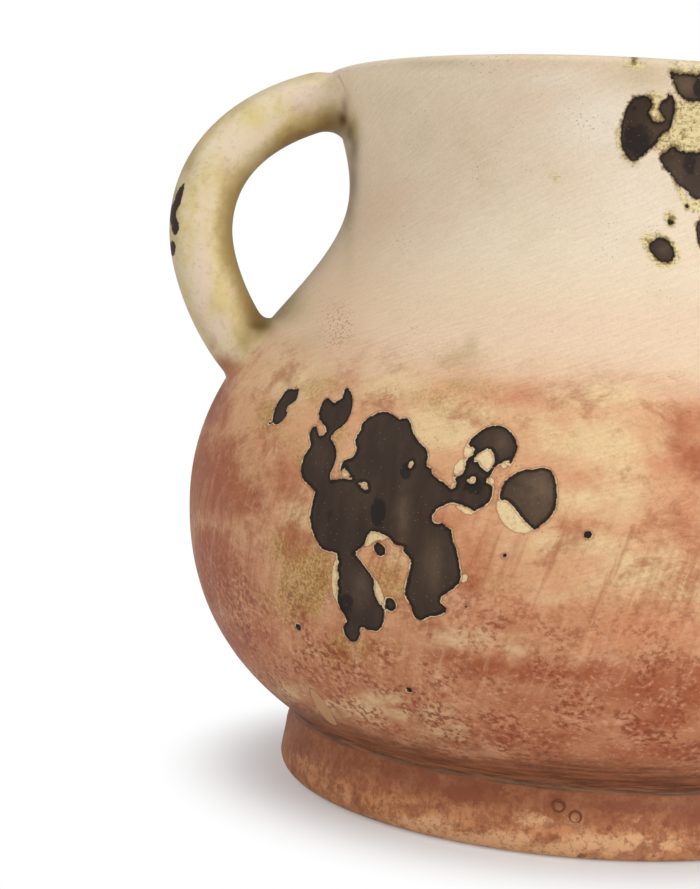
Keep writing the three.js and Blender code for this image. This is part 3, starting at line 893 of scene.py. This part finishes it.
def make_handle(material):
    upper_middle, lower_middle = ((0, down_at(height)) for height in (UPPER_ROOT_MIDDLE, LOWER_ROOT_MIDDLE))
    angles = 2 * math.pi * np.arange(ROD_AROUND) / ROD_AROUND
    columns = []
    for angle in angles:
        top, upper_start = root_curve(angle, 0, upper_middle, UPPER_FLARE)
        foot, lower_start = root_curve(angle, ROD_LENGTH, lower_middle, LOWER_FLARE)
        rod = [rod_point(length, angle) for length in np.linspace(upper_start, lower_start, ROD_ALONG)]
        columns.append(top[::-1] + rod + foot)
    rows = len(columns[0])
    points = np.array(columns).transpose(1, 0, 2).reshape(-1, 3)
    handle = make_piece("handle_glazed", points, grid_faces(rows, ROD_AROUND)[:, ::-1].tolist(), [material])
    hollow, side = np.tile(np.cos(angles), rows), np.tile(np.sin(angles), rows)
    along = (np.arange(rows) - ROOT_ROWS) / (ROD_ALONG - 1)
    pixels = np.stack(seen_in_photo(points)[:2], 1)
    chips = [distance_to_loop(pixels, smooth_loop(np.array(outline))) for outline in EDGE_CHIPS.values()]
    turned_away = np.maximum(AWAY_IN_HOLLOW * hollow + AWAY_AT_SIDE * side, 0)
    bare = CHIP_PIXEL * np.min(chips, axis=0) + CHIP_FADE * turned_away
    write_fields(handle, {"hollow": hollow, "along": np.repeat(along, ROD_AROUND), "bare": bare})
    write_fields(handle, colour_fields(points))
    write_fields(handle, photo_fields(HANDLE_AREAS, points))
    return handle


# Materials


def colour(red, green, blue):
    """A colour given as it shows on a screen, from 0 to 255, as Blender's linear one."""
    shares = [value / 255 for value in (red, green, blue)]
    return *(s / 12.92 if s <= 0.04045 else ((s + 0.055) / 1.055) ** 2.4 for s in shares), 1


CREAM = colour(240, 222, 194)
BEIGE = colour(234, 210, 180)
# Pale cream, partly painted light on the lit right side of the neck
CHALK_AND_PAINTED_LIGHT = colour(246, 234, 214)
PEACH = colour(236, 204, 172)
STAIN = colour(204, 184, 142)
# Olive of the stains, also laid as painted shade beside the handle's roots
STAIN_OLIVE_AND_SHADE = colour(186, 166, 112)
# Dark olive of the creases at the handle's roots: pooled glaze and painted shade
CREASE_OLIVE_AND_SHADE = colour(104, 80, 38)
LINE_PEACH = colour(236, 196, 158)
SALMON = colour(210, 142, 102)
SALMON_PALE = colour(236, 184, 146)
BELLY_TAN = colour(226, 172, 128)
BELLY_BROWN = colour(196, 130, 92)
OCHRE = colour(210, 170, 100)
OCHRE_DARK = colour(146, 98, 46)
TAN = colour(238, 208, 158)
RUST = colour(170, 93, 59)
RUST_DARK = colour(148, 80, 54)
SEAM_BROWN = colour(160, 106, 74)
SEAM_DARK = colour(110, 72, 52)
SEAM_GREY = colour(126, 112, 90)
DARK_CLAY = colour(62, 48, 39)
ASH = colour(118, 96, 76)
SOOT = colour(36, 29, 28)
EDGE_DARK = colour(30, 24, 22)
UNDER_CREAM = colour(238, 214, 166)
CRUST_OLIVE = colour(240, 222, 168)
CRUST_BROWN = colour(132, 108, 58)
DRIP_TAN = colour(222, 172, 122)
FOOT_ORANGE = colour(214, 150, 104)
FOOT_BROWN = colour(174, 112, 76)
FOOT_RED = colour(146, 84, 58)
FOOT_TAN = colour(236, 186, 140)
BLISTER = colour(126, 78, 54)
# Olive glaze of the handle; on its hollow side, which faces the wall, partly painted shade
HANDLE_OLIVE_AND_SHADE = colour(166, 144, 92)
# Dark olive, partly painted shade in the handle's hollow and in the folds at its roots
HANDLE_DARK_OLIVE_AND_SHADE = colour(112, 86, 44)
HANDLE_CREAM = colour(236, 218, 186)
HANDLE_YELLOW = colour(228, 208, 150)
HANDLE_PINK = colour(238, 216, 192)

GLAZE_SHINE = 0.18
RELIEF_STRENGTH = 0.6

# Kinds of group sockets for the kinds of values that nodes give out
SOCKET_KINDS = {"VALUE": "NodeSocketFloat", "VECTOR": "NodeSocketVector", "RGBA": "NodeSocketColor"}


class Value:
    """What a node gives out. Sums and products of it add the nodes that work them out."""

    def __init__(self, socket):
        self.socket = socket
        self.tree = socket.id_data

    def __add__(self, other):
        return calc("ADD", self, other)

    def __sub__(self, other):
        return calc("SUBTRACT", self, other)

    def __mul__(self, other):
        return calc("MULTIPLY", self, other)

    def __truediv__(self, other):
        return calc("DIVIDE", self, other)


def fill(node, inputs):
    """Gives each named input of a node a value or a link."""
    for name, value in inputs.items():
        if isinstance(value, Value):
            value.tree.links.new(value.socket, node.inputs[name])
        else:
            node.inputs[name].default_value = value


def put(kind, inputs, output=0, tree=None, **settings):
    """Adds a node to a tree, or where its inputs come from, and returns one of the values it gives out."""
    tree = tree or next(value.tree for value in inputs.values() if isinstance(value, Value))
    node = tree.nodes.new(kind)
    for name, value in settings.items():
        setattr(node, name, value)
    fill(node, inputs)
    return Value(node.outputs[output])


def use(tree, group, inputs=None):
    """Places a node group in a tree, and returns what it gives out by name."""
    node = tree.nodes.new("ShaderNodeGroup")
    node.node_tree = group
    fill(node, inputs or {})
    return {socket.name: Value(socket) for socket in node.outputs}


def calc(operation, first, second):
    return put("ShaderNodeMath", {0: first, 1: second}, operation=operation)


def scaled(place, scale):
    return put("ShaderNodeVectorMath", {0: place, 1: scale}, operation="MULTIPLY")


def combined(*parts):
    return put("ShaderNodeCombineXYZ", dict(enumerate(parts)))


def ramp(value, low, high, to_low=0, to_high=1):
    """Turns a value between low and high smoothly into one between to_low and to_high."""
    inputs = {0: value, 1: low, 2: high, 3: to_low, 4: to_high}
    return put("ShaderNodeMapRange", inputs, interpolation_type="SMOOTHSTEP")


def noise(place, scale, detail=3, roughness=0.5, distortion=0):
    """Soft random patches. The scale is one number, or one for each direction."""
    if isinstance(scale, tuple):
        place, scale = scaled(place, scale), 1
    inputs = {"Vector": place, "Scale": scale, "Detail": detail, "Roughness": roughness, "Distortion": distortion}
    return put("ShaderNodeTexNoise", inputs)


def dots(place, scale):
    """Distance from the nearest of many scattered points."""
    return put("ShaderNodeTexVoronoi", {"Vector": place, "Scale": scale, "Randomness": 1}, "Distance")


def mix(share, first, second, blend="MIX"):
    inputs = {0: share, 6: first, 7: second}
    return put("ShaderNodeMix", inputs, output=2, data_type="RGBA", blend_type=blend)


def over(base, *coats):
    """Lays coats over a base one by one, each given as its colour and how much of it covers."""
    for tint, share in coats:
        base = mix(share, base, tint)
    return base


def field(tree, name):
    """A distance or strength that the mesh holds at each of its points."""
    return put("ShaderNodeAttribute", {}, "Fac", tree, attribute_name=name)


def new_group(name, inputs=None):
    """A node group and its inputs by name. An input is a number, or a place if it is given none."""
    group = bpy.data.node_groups.new(name, "ShaderNodeTree")
    for label, value in (inputs or {}).items():
        kind = SOCKET_KINDS["VECTOR" if value is None else "VALUE"]
        socket = group.interface.new_socket(label, in_out="INPUT", socket_type=kind)
        if value is not None:
            socket.default_value = value
    return group, {socket.name: Value(socket) for socket in group.nodes.new("NodeGroupInput").outputs}


def close_group(group, outputs):
    """Gives a node group the values that it puts out."""
    for label, value in outputs.items():
        group.interface.new_socket(label, in_out="OUTPUT", socket_type=SOCKET_KINDS[value.socket.type])
    fill(group.nodes.new("NodeGroupOutput"), outputs)
    return group


def new_material(name):
    material = bpy.data.materials.new(name)
    material.use_nodes = True
    return material, material.node_tree


def finished(material, base, roughness, relief=None):
    """Gives a glaze its colour, its roughness and the height of its relief in millimetres."""
    shader = material.node_tree.nodes["Principled BSDF"]
    fill(shader, {"Base Color": base, "Roughness": roughness, "Specular IOR Level": GLAZE_SHINE})
    if relief:
        bump = {"Height": relief * MM, "Strength": RELIEF_STRENGTH, "Distance": 1}
        fill(shader, {"Normal": put("ShaderNodeBump", bump)})
    return material


def make_jug_place():
    """Position in millimetres from the jug's axis and the floor, the height alone, and the distance round it."""
    group, _ = new_group("jug_place")
    position = put("ShaderNodeNewGeometry", {}, "Position", group)
    place = scaled(put("ShaderNodeVectorMath", {0: position, 1: AXIS}, operation="SUBTRACT"), (1 / MM, 1 / MM, 1 / MM))
    x, y, z = (put("ShaderNodeSeparateXYZ", {0: place}, part) for part in "XYZ")
    return close_group(group, {"Place": place, "Height": z, "Round": calc("ARCTAN2", y, x) * BELLY_RADIUS})


def make_brush_marks():
    """Fine marks of a brush that was drawn round the jug, rising by Slant."""
    group, given = new_group("brush_marks", {"Height": 0, "Round": 0, "Slant": 0.2, "Length": 12, "Width": 0.6})
    risen = given["Height"] - given["Round"] * given["Slant"]
    place = combined(given["Round"] / given["Length"], risen / given["Width"])
    return close_group(group, {"Marks": noise(place, 1, 3, 0.6)})


def make_seam_streaks():
    """Colour of the glaze that pooled over the seam, drawn out into streaks by the wheel."""
    group, _ = new_group("seam_streaks")
    place = use(group, JUG_PLACE)["Place"]
    drawn, crumbs = noise(place, (0.07, 0.07, 0.8), 6, 0.7), noise(place, (0.5, 0.5, 0.9), 4, 0.7)
    base = over(SEAM_DARK, (SEAM_BROWN, ramp(drawn, 0.42, 0.6)), (RUST, ramp(crumbs, 0.52, 0.66, 0, 0.5)))
    return close_group(group, {"Color": base})


def make_specks():
    """Small dark iron specks in the glaze."""
    group, given = new_group("iron_specks", {"Place": None, "Amount": 0.5})
    size = ramp(noise(given["Place"], 0.05, 6, 0.75), 0.46, 0.68) * 0.22
    return close_group(group, {"Specks": calc("LESS_THAN", dots(given["Place"], 0.9), size) * given["Amount"]})


AREA_LABELS = ("Ochre", "Pale", "Salmon", "Rust", "Chalk_and_painted_light", "Stain_and_shade", "Freckle")


def make_dipped_glaze():
    """The two dips of glaze: cream above, red-brown below, with a soft line between them, and the brushed grain."""
    group, given = new_group("dipped_glaze", dict.fromkeys(AREA_LABELS, UNSEEN_STRENGTH))
    spot = use(group, JUG_PLACE)
    place, height, around = spot["Place"], spot["Height"], spot["Round"]
    brush = {"Height": height, "Round": around, "Slant": 0.3, "Length": 9, "Width": 0.7}
    marks = use(group, BRUSH_MARKS, brush)["Marks"]
    stains = noise(place, 0.03, 7, 0.7)
    fine = noise(place, 1.3, 4, 0.7)

    upper = over(
        BEIGE,
        (CREAM, ramp(noise(place, 0.013, 4), 0.38, 0.62)),
        (PEACH, ramp(noise(place, (0.02, 0.02, 0.035), 4, 0.6), 0.5, 0.75, 0, 0.5)),
        (STAIN, ramp(stains, 0.54, 0.74, 0, 0.4)),
        # Paler glaze, partly painted light on the lit side of the neck
        (CHALK_AND_PAINTED_LIGHT, given["Chalk_and_painted_light"]),
        (PEACH, ramp(height, 168, 146, 0, 0.75)),
        # Olive stains, partly painted shade beside the handle
        (STAIN_OLIVE_AND_SHADE, given["Stain_and_shade"] * ramp(stains, 0.3, 0.6, 0.5, 1.2)),
    )

    clouded = scaled(place, (0.06, 0.06, 0.085))
    marble = noise(clouded, 1, 8, 0.72, 0.25)
    flecks = noise(place, (0.6, 0.6, 0.72), 2.5, 0.55, 0.2)
    strokes = noise(combined((around - height * 0.3) * 0.34, height * 0.04), 1, 5, 0.6, 0.2)
    brushed = ramp(height, 36, 56) * ramp(height, 112, 90)
    low_down = ramp(height, 92, 52, 0.12, 1)

    def area(label, clouds, edge=0.45):
        """Where a soft colour reaches. Each has its own fineness of clouds, so that their edges differ."""
        reached = given[label] + noise(clouded, clouds, 7, 0.72, 0.4) * 1.9 - 0.95
        return ramp(reached, 0.5 - edge, 0.5 + edge)

    rust = area("Rust", 0.9, 0.4)
    dense = ramp(noise(place, 0.09, 4, 0.6), 0.4, 0.58, 0.08, 0.85) * (rust * 0.25 + low_down)
    lower = over(
        BELLY_BROWN,
        (BELLY_TAN, ramp(height, 40, 95)),
        (LINE_PEACH, ramp(height, 118, 138, 0, 0.7)),
        (SALMON, area("Salmon", 1)),
        (TAN, area("Pale", 1.3) * 0.85),
        (mix(ramp(fine, 0.32, 0.62), OCHRE_DARK, OCHRE), area("Ochre", 0.8) * 0.85),
        (RUST, rust * 0.92),
        (RUST, ramp(marble, 0.5, 0.34) * 0.6),
        (SALMON_PALE, ramp(marble, 0.53, 0.68, 0, 0.5)),
        (RUST, ramp(strokes, 0.5, 0.7, 0, 0.45) * brushed),
        (SALMON_PALE, ramp(strokes, 0.48, 0.3, 0, 0.35) * brushed),
        (SALMON_PALE, ramp(flecks, 0.45, 0.3, 0, 0.4) * low_down),
        (RUST_DARK, ramp(flecks, 0.49, 0.6) * dense),
        (use(group, SEAM_STREAKS)["Color"], ramp(marble * 14 + height, 44, 31, 0, 0.92)),
    )

    wobble = noise(place, (0.03, 0.03, 0.06), 6, 0.65) * 20 + height + marks * 5
    base = mix(ramp(wobble, 139, 157), lower, upper)
    base = mix(ramp(fine, 0.52, 0.62, 0, 0.7) * given["Freckle"], base, RUST)
    grain = fine * 1.2 + marks
    shade = (grain - 1.1) * ramp(height, 170, 125, 0.27, 0.3) + 1
    base = mix(1, base, combined(shade, shade, shade), "MULTIPLY")
    return close_group(group, {"Color": base, "Grain": grain})


JUG_PLACE = make_jug_place()
BRUSH_MARKS = make_brush_marks()
SEAM_STREAKS = make_seam_streaks()
DIPPED_GLAZE = make_dipped_glaze()
IRON_SPECKS = make_specks()


def dipped(tree):
    return use(tree, DIPPED_GLAZE, {label: field(tree, label.lower()) for label in AREA_LABELS})


def bare_clay(place, bare, soot, ash):
    """Colour of the dark clay where the glaze is gone: ashy streaks, sooty patches and a darker edge."""
    ashen = ash * 0.65 + noise(place, (0.3, 0.3, 0.05), 4, 0.6) * 0.5 - 0.2
    sooty = soot + noise(place, 0.5, 4) * 0.5 - 0.25
    return over(
        DARK_CLAY,
        (ASH, ashen * ramp(noise(place, 0.12, 6, 0.7), 0.3, 0.6, 0.4, 1)),
        (SOOT, ramp(sooty, 0.42, 0.6, 0, 0.8)),
        (STAIN, ramp(dots(place, 0.7), 0.11, 0.06, 0, 0.3)),
        (EDGE_DARK, ramp(bare, -1, -0.3, 0, 0.8)),
    )


def vessel_glaze():
    material, tree = new_material("vessel_glaze")
    spot, glaze = use(tree, JUG_PLACE), dipped(tree)
    place = spot["Place"]
    on_neck = ramp(spot["Height"], 140, 160)
    ragged = noise(place, 1.1, 4, 0.6) * 0.9 - 0.45
    crumbs = noise(place, 0.9, 6, 0.7)
    drip = field(tree, "drip") + ragged * 0.3
    flake = field(tree, "flake") + ragged
    bare = field(tree, "bare") + ragged * ramp(on_neck, 0, 1, 1, 2.2)
    is_bare = ramp(bare, 0.2, 0.05)

    crust = ramp(field(tree, "crust") + noise(place, 0.5, 6, 0.7) * 4 - 2, 0.8, -1)
    crust_colour = over(
        CRUST_OLIVE,
        (CRUST_BROWN, ramp(noise(place, (0.35, 0.35, 1.3), 5, 0.7), 0.48, 0.64, 0, 0.5)),
        (CRUST_BROWN, ramp(crumbs, 0.5, 0.62, 0, 0.8)),
    )
    rough_edge = bare - noise(place, 0.25, 6, 0.75) * 8
    # A pale broken ring just outside the losses on the belly: partly the pale under-glaze at their raised edge, partly
    # a painted highlight on that edge.
    pale_rim_and_highlight = ramp(bare, 0.42, 0.26) * ramp(noise(place, 0.35, 3), 0.4, 0.55) * ramp(on_neck, 1, 0)
    base = over(
        glaze["Color"],
        (OCHRE_DARK, use(tree, IRON_SPECKS, {"Place": place, "Amount": 0.5})["Specks"]),
        # Pooled olive glaze and painted shade in the creases at the handle's roots
        (CREASE_OLIVE_AND_SHADE, field(tree, "crease_olive_and_shade") * 0.8),
        (crust_colour, crust),
        (SEAM_DARK, ramp(drip, 0.5, 0.1, 0, 0.7)),
        (DRIP_TAN, ramp(drip, 0.1, -0.1, 0, 0.7)),
        (RUST_DARK, ramp(flake, 0.5, 0.05, 0, 0.45)),
        (mix(ramp(crumbs, 0.46, 0.64, 0, 0.6), UNDER_CREAM, DRIP_TAN), ramp(flake, 0.05, -0.1)),
        (mix(on_neck, RUST_DARK, CRUST_BROWN), ramp(bare, 0.9, 0.35, 0, 0.5)),
        (CRUST_BROWN, ramp(rough_edge, -2.7, -4.2, 0, 0.85) * on_neck),
        # Pale under-glaze and painted highlight on the raised edge of the losses
        (UNDER_CREAM, pale_rim_and_highlight * 0.9),
        (bare_clay(place, bare, field(tree, "soot"), field(tree, "ash")), is_bare),
    )
    roughness = ramp(noise(place, 0.08, 4), 0.3, 0.7, 0.38, 0.5) + is_bare * 0.15
    relief = glaze["Grain"] * 0.05 - is_bare * 0.25 + crust * crumbs * 0.4
    return finished(material, base, roughness, relief)


def inside_glaze():
    material, tree = new_material("inside_glaze")
    clouds = noise(use(tree, JUG_PLACE)["Place"], 0.02, 5, 0.6)
    return finished(material, mix(ramp(clouds, 0.35, 0.65), BEIGE, CREAM), 0.45)


def foot_glaze():
    material, tree = new_material("foot_glaze")
    spot = use(tree, JUG_PLACE)
    place, height = spot["Place"], spot["Height"]
    streaks = noise(place, (0.3, 0.3, 0.12), 6, 0.7)
    clouds = noise(place, (0.12, 0.12, 0.15), 7, 0.72)
    flecks = noise(place, 0.45, 6, 0.75)
    uneven = clouds * 12 + streaks * 8 + height
    seam_line = ramp(height, 19.6, 20) * ramp(height, 20.5, 20.1)

    def area(name):
        return ramp(field(tree, name) + flecks * 1.5 + clouds * 3, 2.6, 3.1, 0, 0.85)

    base = over(
        FOOT_BROWN,
        (FOOT_ORANGE, ramp(clouds, 0.42, 0.58)),
        (FOOT_RED, ramp(streaks, 0.5, 0.66, 0, 0.6)),
        (FOOT_RED, ramp(uneven, 18, 26, 0, 0.6)),
        (FOOT_TAN, ramp(uneven, 14, 9, 0, 0.6)),
        (FOOT_TAN, area("tan")),
        (FOOT_RED, area("red")),
        (FOOT_RED, ramp(flecks, 0.5, 0.62, 0, 0.55)),
        (use(tree, SEAM_STREAKS)["Color"], ramp(clouds * 3 + height, 20.3, 21.5)),
        (SEAM_GREY, seam_line * ramp(clouds, 0.42, 0.6, 0.1, 0.8)),
    )
    return finished(material, base, 0.5, streaks * 0.15)


def blister_glaze():
    return finished(new_material("blister_glaze")[0], BLISTER, 0.45)


def handle_glaze():
    material, tree = new_material("handle_glaze")
    place = use(tree, JUG_PLACE)["Place"]
    hollow, along = field(tree, "hollow"), field(tree, "along")
    clouds, fine = noise(place, 0.06, 6, 0.65), noise(place, 0.5, 5, 0.7)

    def area(name, edge):
        return ramp(field(tree, name) + fine * 0.4 + clouds * 1.4, 1.4 - edge, 1.4 + edge)

    # Olive on the handle's hollow side, which faces the wall: olive glaze and painted shade
    hollow_olive_and_shade = hollow - 0.45 + clouds * 0.9
    near_root = calc("MAXIMUM", ramp(along, 0, -0.16), ramp(along, 1.03, 1.18))
    # Where the handle's roots fold into the wall, on its hollow side: painted shade
    web = ramp(along, 0.88, 1.02) * ramp(along, 1.17, 1.06)
    throat = ramp(along, 0.06, -0.06) * ramp(along, -0.19, -0.08)
    fold_shade = ramp(hollow, 0, 0.85) * calc("MAXIMUM", web, throat)
    bare = field(tree, "bare") - 0.45 + noise(place, 1, 4, 0.6) * 0.9
    base = over(
        HANDLE_CREAM,
        (HANDLE_YELLOW, ramp(clouds, 0.4, 0.6)),
        (HANDLE_YELLOW, area("yellow", 0.45)),
        (HANDLE_PINK, area("pink", 0.45)),
        (STAIN, ramp(fine, 0.52, 0.66, 0, 0.35)),
        # Olive glaze and painted shade on the hollow side
        (HANDLE_OLIVE_AND_SHADE, ramp(hollow_olive_and_shade, 0.15, 0.95, 0, 0.95)),
        # Deeper painted shade in the hollow of the upper half, with olive glaze
        (HANDLE_DARK_OLIVE_AND_SHADE, ramp(hollow_olive_and_shade, 0.75, 1.05, 0, 0.6) * ramp(along, 0.6, 0.2)),
        (STAIN, ramp(hollow, -0.6, -1, 0, 0.5)),
        # Olive areas, partly painted shade at the roots
        (HANDLE_OLIVE_AND_SHADE, area("olive_and_shade", 0.6) * 0.6),
        (dipped(tree)["Color"], near_root),
        (RUST, area("burnt", 0.6) * 0.8),
        # Painted shade in the folds at the handle's roots
        (HANDLE_DARK_OLIVE_AND_SHADE, fold_shade * 0.5),
        # Pooled olive glaze and painted shade in the creases at the handle's roots
        (CREASE_OLIVE_AND_SHADE, field(tree, "crease_olive_and_shade") * 0.8),
        (DARK_CLAY, ramp(bare, 0.3, 0.05)),
    )
    return finished(material, base, 0.42, fine * 0.12)


# Surroundings, whose sizes are in metres

FLOOR_HALF = 6
FLOOR_PALE = (0.92, 0.92, 0.92, 1)
WHITE = (1, 1, 1, 1)
LAMPS_AIM = Vector((0, 0, 0.11))

# Azimuth and elevation in degrees, distance, size, and power in watts
LAMPS = {
    "key_softbox": (-58, 24, 1.5, 1.0, 11),
    "fill_softbox": (-165, 32, 1.6, 1.0, 4),
    "top_softbox": (-100, 85, 1.4, 0.9, 4),
}


def camera_ray_share(tree):
    return put("ShaderNodeLightPath", {}, "Is Camera Ray", tree)


def make_floor():
    """A pale floor that holds the jug's shadow and turns plain white further out."""
    material, tree = new_material("pale_floor")
    shader = tree.nodes["Principled BSDF"]
    fill(shader, {"Base Color": FLOOR_PALE, "Roughness": 0.9, "Specular IOR Level": 0.1})
    glow = put("ShaderNodeEmission", {"Color": WHITE, "Strength": 1}, tree=tree)
    position = put("ShaderNodeNewGeometry", {}, "Position", tree)
    distance = put("ShaderNodeVectorMath", {0: position}, "Value", operation="LENGTH")
    share = ramp(distance, 0.085, 0.13, 0.25, 1) * camera_ray_share(tree)
    blend = put("ShaderNodeMixShader", {0: share, 1: Value(shader.outputs[0]), 2: glow})
    fill(tree.nodes["Material Output"], {"Surface": blend})
    mesh = bpy.data.meshes.new("studio_floor")
    corners = [(x * FLOOR_HALF, y * FLOOR_HALF, 0) for x, y in ((-1, -1), (1, -1), (1, 1), (-1, 1))]
    mesh.from_pydata(corners, [], [(0, 1, 2, 3)])
    mesh.materials.append(material)
    floor = add_to_scene("studio_floor", mesh)


def make_world():
    world = bpy.data.worlds.new("studio_air")
    bpy.context.scene.world = world
    world.use_nodes = True
    strength = camera_ray_share(world.node_tree) * 0.6 + 0.4
    fill(world.node_tree.nodes["Background"], {"Color": WHITE, "Strength": strength})


def make_lamp(name, azimuth, elevation, distance, size, power):
    """A square soft lamp that looks at the middle of the jug."""
    data = bpy.data.lights.new(name, "AREA")
    data.shape = "SQUARE"
    data.size = size
    data.energy = power
    lamp = add_to_scene(name, data)
    turn, rise = math.radians(azimuth), math.radians(elevation)
    away = Vector((math.cos(turn) * math.cos(rise), math.sin(turn) * math.cos(rise), math.sin(rise)))
    lamp.location = AXIS + LAMPS_AIM + distance * away
    lamp.rotation_euler = away.to_track_quat("Z", "Y").to_euler()


make_camera()
vessel = make_vessel(vessel_glaze(), inside_glaze())
foot = make_foot(foot_glaze(), blister_glaze())
handle = make_handle(handle_glaze())

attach(vessel, "root")
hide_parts("vessel_body")
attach(foot, "root")
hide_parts("foot_ring")
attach(handle, "root")
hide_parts("handle", "upper_luting_coil", "lower_luting_coil")

make_floor()
make_world()
for lamp_name, settings in LAMPS.items():
    make_lamp(lamp_name, *settings)
bpy.context.scene.view_settings.view_transform = "Standard"
